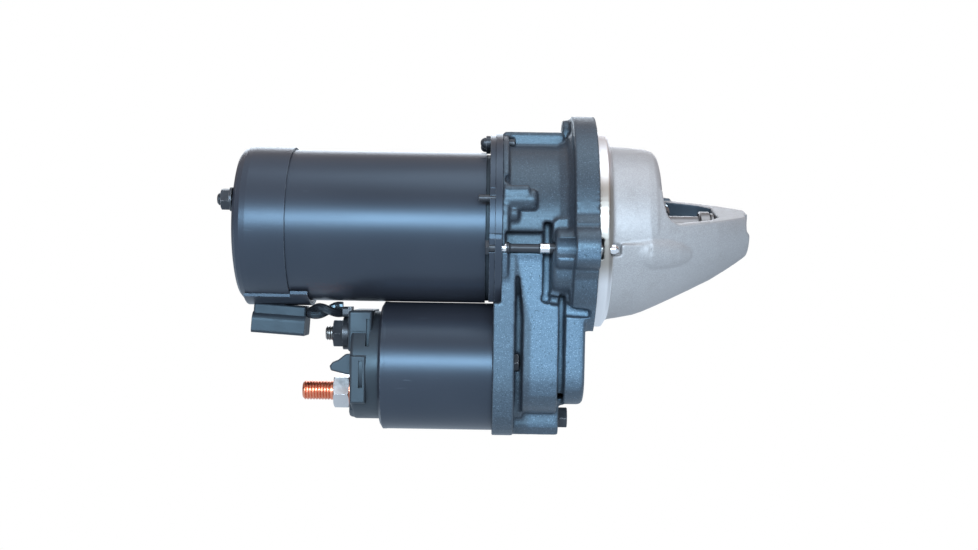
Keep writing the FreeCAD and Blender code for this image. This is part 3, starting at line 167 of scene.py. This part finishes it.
# ------------------------------------------------------------------ materials
def satin_black(name, tint=(0.023, 0.025, 0.033), rough=0.34, bevel=0.35, scratch=0.5):
    """Smooth enamel with a faint orange peel, a little dust and a few fine rub marks."""
    t = Tree(name)
    peel = t.noise(620.0, 2.0, 0.5)
    cloud = t.noise(16.0, 3.0, 0.5)
    dust = t.span(t.noise(3200.0, 2.0, 0.6), 0.68, 0.76)
    # short rub marks lie along the tube, only where the cloud is densest
    hair = t.noise(38.0, 3.0, 0.6, t.stretched((1.0, 16.0, 16.0)), 0.2)
    hair = t.math("MULTIPLY", t.span(hair, 0.655, 0.68), t.span(t.noise(34.0, 2.0, 0.5), 0.55, 0.68))
    wear = edge_wear(t)
    col = t.mix(t.span(cloud, 0.35, 0.65), rgb(*tint), rgb(tint[0] * 1.22, tint[1] * 1.20, tint[2] * 1.18))
    col = t.mix(t.math("MULTIPLY", dust, 0.20), col, rgb(0.10, 0.12, 0.14))
    col = t.mix(t.math("MULTIPLY", hair, 0.30 * scratch), col, rgb(0.16, 0.20, 0.24))
    col = t.mix(t.math("MULTIPLY", wear, 0.35), col, rgb(0.22, 0.24, 0.26))
    r = t.math("ADD", t.span(cloud, 0.3, 0.7, rough - 0.015, rough + 0.02), t.math("MULTIPLY", hair, 0.10))
    nrm = t.bump(peel, 0.0022 * MM, soft_edge(t, bevel))
    return t.finish(Base_Color=col, Roughness=r, Metallic=0.0, Normal=nrm, Specular_Tint=rgb(0.55, 0.78, 1.0),
                    Specular_IOR_Level=0.62)


def cast_black(name):
    """Enamel over sand-cast skin: fine pits and bright grains, the brightness of the grains being a painted glint;
    the lower flanks carry a painted highlight, with painted shade in the hollows and at the foot.
    """
    t = Tree(name)
    grain = t.noise(1500.0, 4.0, 0.70)
    fine = t.noise(3400.0, 2.0, 0.6)
    grain_glint = t.span(t.noise(2300.0, 2.0, 0.6), 0.57, 0.66)
    pits = t.span(t.noise(1250.0, 2.0, 0.5), 0.60, 0.70)
    cloud = t.noise(30.0, 3.0, 0.5)
    wear = edge_wear(t, 0.02, 0.08)
    x, y, z = t.xyz()
    # painted highlight: the lower flanks that face the camera side get a lighter blue, standing in for the
    # reflection of the front key light; the same mask deepens the sand grain there, so the upper half stays smoother
    low = t.span(z, -4.0 * MM, -14.0 * MM)
    geo = t.add("ShaderNodeNewGeometry")
    side = t.add("ShaderNodeVectorMath", {"operation": "DOT_PRODUCT"}, i0=geo.outputs["Normal"], i1=(0.0, 1.0, 0.0)).outputs["Value"]
    flat = t.span(t.math("ABSOLUTE", side), 0.78, 0.93)
    low = t.math("MULTIPLY", low, t.fmix(flat, 0.20, 1.0))
    # painted shade: the rear strip and the hollows under the bolt bosses get less of the painted flank light, so
    # they read darker
    low = t.math("MULTIPLY", low, t.span(x, -33.4 * MM, -32.0 * MM, 0.45, 1.0))
    hollow_shade = t.math("MULTIPLY", t.span(x, -18.2 * MM, -17.4 * MM), t.math("MULTIPLY", t.span(z, -33.0 * MM, -30.5 * MM), t.span(z, -13.0 * MM, -16.0 * MM)))
    low = t.math("MULTIPLY", low, t.math("SUBTRACT", 1.0, t.math("MULTIPLY", hollow_shade, 0.70)))
    # painted shade: a slanting band of painted shade runs down beside the rear strip, and painted shade darkens the
    # foot of the flat side
    edge = t.math("ADD", -31.8 * MM, t.math("MULTIPLY", t.span(z, -12.0 * MM, -40.0 * MM, 0.0, 1.0, smooth=False), 6.0 * MM))
    shade_band = t.math("MULTIPLY", t.span(t.math("SUBTRACT", edge, x), -0.9 * MM, 0.9 * MM), t.span(x, -33.4 * MM, -32.6 * MM))
    low = t.math("MULTIPLY", low, t.math("SUBTRACT", 1.0, t.math("MULTIPLY", shade_band, 0.82)))
    low = t.math("MULTIPLY", low, t.span(z, -66.0 * MM, -55.0 * MM, 0.42, 1.0))
    col = t.mix(cloud, rgb(0.028, 0.032, 0.041), rgb(0.036, 0.041, 0.051))
    # painted highlight: the lighter blue of the lit flanks goes into the base colour here
    col = t.mix(low, col, rgb(0.092, 0.145, 0.200))
    # painted glint: bright blue-grey grains of the cast skin, stronger where the painted flank highlight is
    col = t.mix(t.math("MULTIPLY", grain_glint, t.fmix(low, 0.16, 0.55)), col, rgb(0.30, 0.42, 0.54))
    col = t.mix(t.math("MULTIPLY", pits, 0.65), col, rgb(0.012, 0.018, 0.024))
    col = t.mix(t.math("MULTIPLY", wear, 0.25), col, rgb(0.20, 0.21, 0.22))
    r = t.span(grain, 0.3, 0.7, 0.36, 0.50)
    nrm = t.bump(grain, t.fmix(low, 0.030 * MM, 0.075 * MM), soft_edge(t, 0.3))
    nrm = t.bump(fine, t.fmix(low, 0.010 * MM, 0.022 * MM), nrm)
    return t.finish(Base_Color=col, Roughness=r, Metallic=0.0, Normal=nrm, Specular_Tint=rgb(0.55, 0.82, 1.0),
                    Specular_IOR_Level=0.75)


def cast_aluminium(name):
    """Bare casting with a turned pilot ring; the inside of the nose stays dark with grease and shadow."""
    t = Tree(name)
    x, y, z = t.xyz()
    rad = t.math("SQRT", t.math("ADD", t.math("MULTIPLY", y, y), t.math("MULTIPLY", z, z)))
    grain = t.noise(2300.0, 3.0, 0.65)
    lump = t.noise(420.0, 3.0, 0.5)
    cloud = t.noise(38.0, 3.0, 0.5)
    spots = t.span(t.noise(330.0, 2.0, 0.4), 0.72, 0.78)
    col = t.mix(cloud, rgb(0.275, 0.266, 0.268), rgb(0.360, 0.348, 0.348))
    stain = t.span(t.noise(120.0, 4.0, 0.6), 0.52, 0.72)
    col = t.mix(t.math("MULTIPLY", stain, 0.35), col, rgb(0.24, 0.225, 0.215))
    col = t.mix(t.span(grain, 0.35, 0.75, 0.0, 0.50), col, rgb(0.56, 0.55, 0.55))
    col = t.mix(t.span(x, 26.0 * MM, 62.0 * MM, 0.0, 0.40), col, rgb(0.22, 0.215, 0.215))
    col = t.mix(t.math("MULTIPLY", spots, 0.30), col, rgb(0.30, 0.29, 0.29))
    # machined zone: the ring and its bevel
    ring = t.math("MULTIPLY", t.span(x, 6.0 * MM, 6.5 * MM, 1.0, 0.0), t.span(rad, 36.6 * MM, 37.4 * MM))
    turned = t.add("ShaderNodeTexWave", {"wave_type": "BANDS", "bands_direction": "X"}, Vector=t.coord, Scale=900.0, Distortion=0.15, Detail=1.0).outputs["Fac"]
    # painted reflection: the turned ring is warm and darker around mid-height and pale near top and bottom, standing
    # in for the room reflected in it
    ring_reflection_col = t.mix(t.span(t.math("ABSOLUTE", z), 14.0 * MM, 24.0 * MM), rgb(0.40, 0.365, 0.325), rgb(0.82, 0.82, 0.83))
    col = t.mix(ring, col, ring_reflection_col)
    rough = t.fmix(ring, t.span(grain, 0.3, 0.7, 0.42, 0.60), t.span(turned, 0.0, 1.0, 0.36, 0.48))
    metal = t.fmix(ring, 0.30, 1.0)
    h1 = t.math("MULTIPLY", grain, t.math("SUBTRACT", 1.0, ring))
    nrm = t.bump(h1, 0.060 * MM, None)
    nrm = t.bump(t.math("MULTIPLY", lump, t.math("SUBTRACT", 1.0, ring)), 0.110 * MM, nrm)
    nrm = t.bump(t.math("MULTIPLY", turned, ring), 0.004 * MM, nrm)
    # inner faces point towards the shaft axis
    geo = t.add("ShaderNodeNewGeometry")
    pos = t.add("ShaderNodeCombineXYZ", None, X=0.0, Y=y, Z=z).outputs[0]
    unit = t.add("ShaderNodeVectorMath", {"operation": "NORMALIZE"}, i0=pos).outputs[0]
    facing = t.add("ShaderNodeVectorMath", {"operation": "DOT_PRODUCT"}, i0=geo.outputs["Normal"], i1=unit).outputs["Value"]
    inner = t.math("MULTIPLY", t.span(facing, -0.12, -0.35), t.span(x, 1.0 * MM, 4.0 * MM))
    inner = t.math("MULTIPLY", inner, t.span(x, 64.0 * MM, 61.0 * MM))
    col = t.mix(t.math("MULTIPLY", inner, 0.93), col, rgb(0.050, 0.075, 0.100))
    metal = t.fmix(inner, metal, 0.1)
    return t.finish(Base_Color=col, Roughness=rough, Metallic=metal, Normal=nrm)


def plated(name, a, b, rough=0.24, brushed=0.0, metal=1.0, wear=0.0, bevel=0.2, grit=0.010):
    t = Tree(name)
    cloud = t.noise(180.0, 4.0, 0.6)
    fine = t.noise(2400.0, 2.0, 0.5)
    streak = t.noise(500.0, 3.0, 0.6, t.stretched((6.0, 0.6, 0.6)) if brushed else None)
    col = t.mix(cloud, rgb(*a), rgb(*b))
    if wear:
        col = t.mix(t.math("MULTIPLY", edge_wear(t), wear), col, rgb(0.55, 0.55, 0.56))
    r = t.math("ADD", t.span(cloud, 0.3, 0.7, rough - 0.05, rough + 0.08), t.math("MULTIPLY", streak, 0.10))
    nrm = t.bump(fine, grit * MM, soft_edge(t, bevel))
    nrm = t.bump(streak, 0.006 * MM, nrm)
    return t.finish(Base_Color=col, Roughness=r, Metallic=metal, Normal=nrm)


def part_plated(name):
    """A bolt that is zinc bright at its tip, with two short painted highlights on the shank standing in for glints,
    and dark between.
    """
    t = Tree(name)
    x, y, z = t.xyz()
    cloud = t.noise(160.0, 3.0, 0.5)
    fine = t.noise(2400.0, 2.0, 0.5)
    tip = t.span(x, -1.2 * MM, -0.4 * MM)
    # painted highlight: two short lands on the shank are painted bright metal, standing in for glints; the bright
    # tip is its zinc plate
    shoulder_glint = t.math("MULTIPLY", t.span(x, -22.9 * MM, -22.5 * MM), t.span(x, -18.9 * MM, -19.3 * MM))
    shank_glint = t.math("MULTIPLY", t.span(x, -39.6 * MM, -39.2 * MM), t.span(x, -36.2 * MM, -36.6 * MM))
    bright = t.math("MAXIMUM", tip, t.math("MAXIMUM", shoulder_glint, shank_glint))
    col = t.mix(cloud, rgb(0.020, 0.024, 0.030), rgb(0.036, 0.040, 0.048))
    col = t.mix(bright, col, rgb(0.74, 0.75, 0.77))
    r = t.fmix(bright, 0.42, t.span(cloud, 0.3, 0.7, 0.20, 0.28))
    return t.finish(Base_Color=col, Roughness=r, Metallic=t.fmix(bright, 0.3, 1.0), Normal=t.bump(fine, 0.008 * MM, soft_edge(t, 0.2)))


def plastic(name, tint=(0.018, 0.020, 0.024), rough=0.42, bevel=0.3, grain=0.018):
    t = Tree(name)
    tex = t.noise(1700.0, 3.0, 0.6)
    cloud = t.noise(60.0, 3.0, 0.5)
    flow = t.noise(120.0, 2.0, 0.5, t.stretched((1.0, 4.0, 1.0)), 0.6)
    col = t.mix(cloud, rgb(*tint), rgb(tint[0] * 1.8, tint[1] * 1.8, tint[2] * 1.8))
    col = t.mix(t.math("MULTIPLY", edge_wear(t), 0.25), col, rgb(0.12, 0.13, 0.14))
    r = t.math("ADD", t.span(cloud, 0.3, 0.7, rough - 0.05, rough + 0.06), t.math("MULTIPLY", t.span(flow, 0.5, 0.7), 0.06))
    nrm = t.bump(tex, grain * MM, soft_edge(t, bevel))
    return t.finish(Base_Color=col, Roughness=r, Normal=nrm, Specular_IOR_Level=0.55, Specular_Tint=rgb(0.60, 0.85, 1.0))


def laminated(name):
    t = Tree(name)
    lines = t.add("ShaderNodeTexWave", {"wave_type": "BANDS", "bands_direction": "X"}, Vector=t.coord, Scale=640.0, Distortion=0.0).outputs["Fac"]
    cloud = t.noise(90.0, 3.0, 0.5)
    col = t.mix(lines, rgb(0.16, 0.16, 0.17), rgb(0.34, 0.34, 0.35))
    col = t.mix(t.math("MULTIPLY", cloud, 0.4), col, rgb(0.22, 0.16, 0.10))
    return t.finish(Base_Color=col, Roughness=0.42, Metallic=0.85, Normal=t.bump(lines, 0.03 * MM, None))


M = {
    "satin_black_paint": satin_black("satin_black_paint"),
    "rough_black_paint": cast_black("rough_black_paint"),
    "cast_aluminium": cast_aluminium("cast_aluminium"),
    "zinc_plate": plated("zinc_plate", (0.50, 0.50, 0.51), (0.64, 0.64, 0.64), 0.28, wear=0.2),
    "black_fastener": plated("black_fastener", (0.03, 0.034, 0.04), (0.06, 0.066, 0.075), 0.34, metal=0.6, wear=0.5),
    "copper": plated("copper", (0.72, 0.23, 0.13), (0.86, 0.36, 0.23), 0.27, brushed=1.0, wear=0.1),
    "terminal_steel": plated("terminal_steel", (0.20, 0.20, 0.20), (0.32, 0.31, 0.29), 0.34, wear=0.3),
    "black_plastic": plastic("black_plastic"),
    "black_rubber": plastic("black_rubber", (0.016, 0.019, 0.024), 0.50, 0.5, 0.03),
    "lead_sleeve": plastic("lead_sleeve", (0.012, 0.013, 0.016), 0.22, 0.2, 0.01),
    "machined_steel": plated("machined_steel", (0.17, 0.17, 0.175), (0.27, 0.27, 0.275), 0.32, brushed=1.0),
    "spring_steel": plated("spring_steel", (0.34, 0.34, 0.36), (0.48, 0.48, 0.50), 0.30),
    "lamination": laminated("lamination"),
    "ferrite": plastic("ferrite", (0.045, 0.045, 0.048), 0.6, 0.3, 0.03),
    "bronze": plated("bronze", (0.34, 0.24, 0.12), (0.46, 0.34, 0.18), 0.40, grit=0.03),
    "carbon": plastic("carbon", (0.05, 0.045, 0.045), 0.55, 0.2, 0.03),
    "brush_carrier": plastic("brush_carrier", (0.10, 0.065, 0.038), 0.5, 0.3, 0.02),
}
slot_of = {s["node"]: s["material_slot"] for s in frame["record"]["subparts"]}


def dress(obj, mat):
    obj.data.materials.clear()
    obj.data.materials.append(mat)


for name, obj in nodes.items():
    dress(obj, M[slot_of[name]])
dress(nodes["long_bolts"], part_plated("long_bolt_plate"))

# ------------------------------------------------------------------ cast pieces as real rounded castings
def to_arrays(me):
    co = np.empty(len(me.vertices) * 3, dtype=np.float64)
    me.vertices.foreach_get("co", co)
    ed = np.empty(len(me.edges) * 2, dtype=np.int64)
    me.edges.foreach_get("vertices", ed)
    return co.reshape(-1, 3), ed.reshape(-1, 2)


def relax(co, ed, keep_mask, rounds, step):
    """Laplacian smoothing; keep_mask 1 holds a vertex where it is."""
    count = np.zeros(len(co))
    np.add.at(count, ed[:, 0], 1)
    np.add.at(count, ed[:, 1], 1)
    count[count == 0] = 1
    free_ = (1.0 - keep_mask)[:, None]
    for k in range(rounds):
        for f in (step, -step * 0.92 if k % 2 else 0.0):
            if f == 0.0:
                continue
            acc = np.zeros_like(co)
            np.add.at(acc, ed[:, 0], co[ed[:, 1]])
            np.add.at(acc, ed[:, 1], co[ed[:, 0]])
            co = co + (acc / count[:, None] - co) * f * free_
    return co


def hash_noise(p, seed):
    """Smooth value noise on a lattice, evaluated for an array of points."""
    i = np.floor(p).astype(np.int64)
    f = p - i
    f = f * f * (3 - 2 * f)

    def h(ix, iy, iz):
        v = (ix * 374761393 + iy * 668265263 + iz * 2147483647 + seed * 974711) & 0xFFFFFFFF
        v = ((v ^ (v >> 13)) * 1274126177) & 0xFFFFFFFF
        return ((v ^ (v >> 16)) & 0xFFFFFF) / float(0xFFFFFF)

    out = 0.0
    for dx in (0, 1):
        wx = f[:, 0] if dx else 1 - f[:, 0]
        for dy in (0, 1):
            wy = f[:, 1] if dy else 1 - f[:, 1]
            for dz in (0, 1):
                wz = f[:, 2] if dz else 1 - f[:, 2]
                out = out + wx * wy * wz * h(i[:, 0] + dx, i[:, 1] + dy, i[:, 2] + dz)
    return out


def casting(node, voxel_mm, hold, rounds, step, grain_mm, label):
    """A cast version of a CAD node: its edges rounded and its skin slightly uneven, machined faces held."""
    src = nodes[node]
    me = src.data.copy()
    ob = bpy.data.objects.new(label, me)
    bpy.context.collection.objects.link(ob)
    md = ob.modifiers.new("remesh", "REMESH")
    md.mode = "VOXEL"
    md.voxel_size = voxel_mm * MM
    md.use_smooth_shade = True
    dg = bpy.context.evaluated_depsgraph_get()
    fine = bpy.data.meshes.new_from_object(ob.evaluated_get(dg))
    ob.modifiers.clear()
    ob.data = fine
    co, ed = to_arrays(fine)
    k = hold(co * 1000.0)
    co = relax(co, ed, k, rounds, step)
    fine.vertices.foreach_set("co", co.reshape(-1))
    fine.update()
    if grain_mm:
        nr = np.empty(len(fine.vertices) * 3)
        fine.vertices.foreach_get("normal", nr)
        nr = nr.reshape(-1, 3)
        amp = (hash_noise(co * 1000.0 / 1.5, 3) - 0.5) * grain_mm + (hash_noise(co * 1000.0 / 4.2, 7) - 0.5) * grain_mm * 1.1
        co = co + nr * (amp * (1 - k))[:, None] * MM
        fine.vertices.foreach_set("co", co.reshape(-1))
        fine.update()
    for p in fine.polygons:
        p.use_smooth = True
    dress(ob, M[slot_of[node]])
    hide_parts(node)
    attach(ob, "housing")
    return ob


def ramp(v, a, b):
    return np.clip((v - a) / (b - a), 0.0, 1.0)


def hold_housing(p):
    x, y, z = p[:, 0], p[:, 1], p[:, 2]
    r = np.hypot(y, z)
    front = ramp(x, -0.7, -0.3)
    rear = ramp(-x, 37.4, 37.8) * (z > -31)
    rear = np.maximum(rear, ramp(-x, 40.1, 40.4))
    bore = (r < 25.4) | ((r < 38.0) & (x > -6.4))
    return np.clip(np.maximum(np.maximum(front, rear), bore * 1.0), 0, 1)


def hold_nose(p):
    x, y, z = p[:, 0], p[:, 1], p[:, 2]
    r = np.hypot(y, z)
    ring = (x < 6.2) & (r > 36.8)
    back = x < 0.5
    hub = (x > 52.6) & (r < 6.6)
    return np.clip((ring | back | hub) * 1.0, 0, 1)


cast_housing = casting("drive_end_housing", 0.55, hold_housing, 6, 0.55, 0.05, "drive_end_casting")
cast_nose = casting("nose_housing", 0.45, hold_nose, 8, 0.55, 0.04, "nose_casting")

# ------------------------------------------------------------------ staging, light, camera
def sheet(name, size, at, rot=(0, 0, 0)):
    me = bpy.data.meshes.new(name)
    h = size / 2
    me.from_pydata([(-h, -h, 0), (h, -h, 0), (h, h, 0), (-h, h, 0)], [], [(0, 1, 2, 3)])
    ob = bpy.data.objects.new(name, me)
    ob.location = at
    ob.rotation_euler = rot
    bpy.context.collection.objects.link(ob)
    return ob


floor = sheet("studio_floor", 8.0, (0, 0, cad_lo[2] - 0.0006))
tf = Tree("pale_floor")
lp = tf.add("ShaderNodeLightPath")
diff = tf.add("ShaderNodeEmission", None, Color=rgb(0.74, 0.86, 1.0), Strength=0.95)
white = tf.add("ShaderNodeEmission", None, Color=rgb(1, 1, 1), Strength=1.0)
camfac = lp.outputs["Is Camera Ray"]
mx = tf.add("ShaderNodeMixShader", None, Fac=camfac, i1=diff.outputs[0], i2=white.outputs[0])
tf.nt.links.new(mx.outputs[0], tf.out.inputs[0])
dress(floor, tf.mat)

world = bpy.data.worlds.new("studio")
bpy.context.scene.world = world
world.use_nodes = True
wn = world.node_tree
wn.nodes.clear()
wo = wn.nodes.new("ShaderNodeOutputWorld")
cam_bg = wn.nodes.new("ShaderNodeBackground")
cam_bg.inputs[0].default_value = (1, 1, 1, 1)
cam_bg.inputs[1].default_value = 1.0
lit_bg = wn.nodes.new("ShaderNodeBackground")
lit_bg.inputs[1].default_value = 1.0
# room light by height: dim near the horizon, warm walls, pale ceiling
wg = wn.nodes.new("ShaderNodeNewGeometry")
ws = wn.nodes.new("ShaderNodeSeparateXYZ")
wn.links.new(wg.outputs["Incoming"], ws.inputs[0])
wmr = wn.nodes.new("ShaderNodeMapRange")
wmr.inputs[1].default_value, wmr.inputs[2].default_value = 1.0, -1.0
wn.links.new(ws.outputs[2], wmr.inputs[0])
wr = wn.nodes.new("ShaderNodeValToRGB")
for i, (pos, col) in enumerate(((0.0, (0.16, 0.19, 0.23)), (0.49, (0.10, 0.12, 0.15)), (0.54, (0.12, 0.13, 0.15)), (0.66, (0.36, 0.31, 0.31)),
                                (0.79, (0.50, 0.38, 0.34)), (0.90, (0.58, 0.50, 0.46)), (1.0, (0.66, 0.70, 0.80)))):
    el = wr.color_ramp.elements[i] if i < 2 else wr.color_ramp.elements.new(pos)
    el.position = pos
    el.color = (*col, 1.0)
wn.links.new(wmr.outputs[0], wr.inputs[0])
wn.links.new(wr.outputs[0], lit_bg.inputs[0])
wl = wn.nodes.new("ShaderNodeLightPath")
wm = wn.nodes.new("ShaderNodeMixShader")
wn.links.new(wl.outputs["Is Camera Ray"], wm.inputs[0])
wn.links.new(lit_bg.outputs[0], wm.inputs[1])
wn.links.new(cam_bg.outputs[0], wm.inputs[2])
wn.links.new(wm.outputs[0], wo.inputs[0])


def area(name, at, look, w, h, power, color):
    li = bpy.data.lights.new(name, "AREA")
    li.shape = "RECTANGLE"
    li.size, li.size_y = w, h
    li.energy = power
    li.color = color
    ob = bpy.data.objects.new(name, li)
    ob.location = at
    ob.rotation_euler = (Vector(look) - Vector(at)).to_track_quat("-Z", "Y").to_euler()
    bpy.context.collection.objects.link(ob)
    return ob


area("key_softbox", (-0.10, -1.35, 0.22), (-0.04, 0, -0.02), 1.0, 0.27, 26.0, (0.66, 0.84, 1.0))
area("top_softbox", (0.15, -0.25, 1.1), (-0.02, 0, 0), 0.9, 0.7, 4.2, (0.90, 0.95, 1.0))
area("back_softbox", (-0.1, 1.2, 0.5), (-0.04, 0, -0.02), 1.2, 0.6, 9.0, (0.80, 0.90, 1.0))

cam_data = bpy.data.cameras.new("camera")
cam = bpy.data.objects.new("camera", cam_data)
bpy.context.collection.objects.link(cam)
cam_data.sensor_width = 36.0
cam_data.lens = 36.0 * 1280.0 / 978.0
cam_data.clip_start, cam_data.clip_end = 0.01, 50.0
CAM_AT = Vector((-0.043, -0.546, -0.020))
ROLL = math.radians(0.9)
cam.location = CAM_AT
cam.rotation_mode = "QUATERNION"
look = Vector((0, 1, 0)).to_track_quat("-Z", "Y")
cam.rotation_quaternion = look @ Matrix.Rotation(ROLL, 4, "Z").to_quaternion()
bpy.context.scene.camera = cam
bpy.context.scene.view_settings.view_transform = "Standard"
bpy.context.scene.view_settings.look = "None"
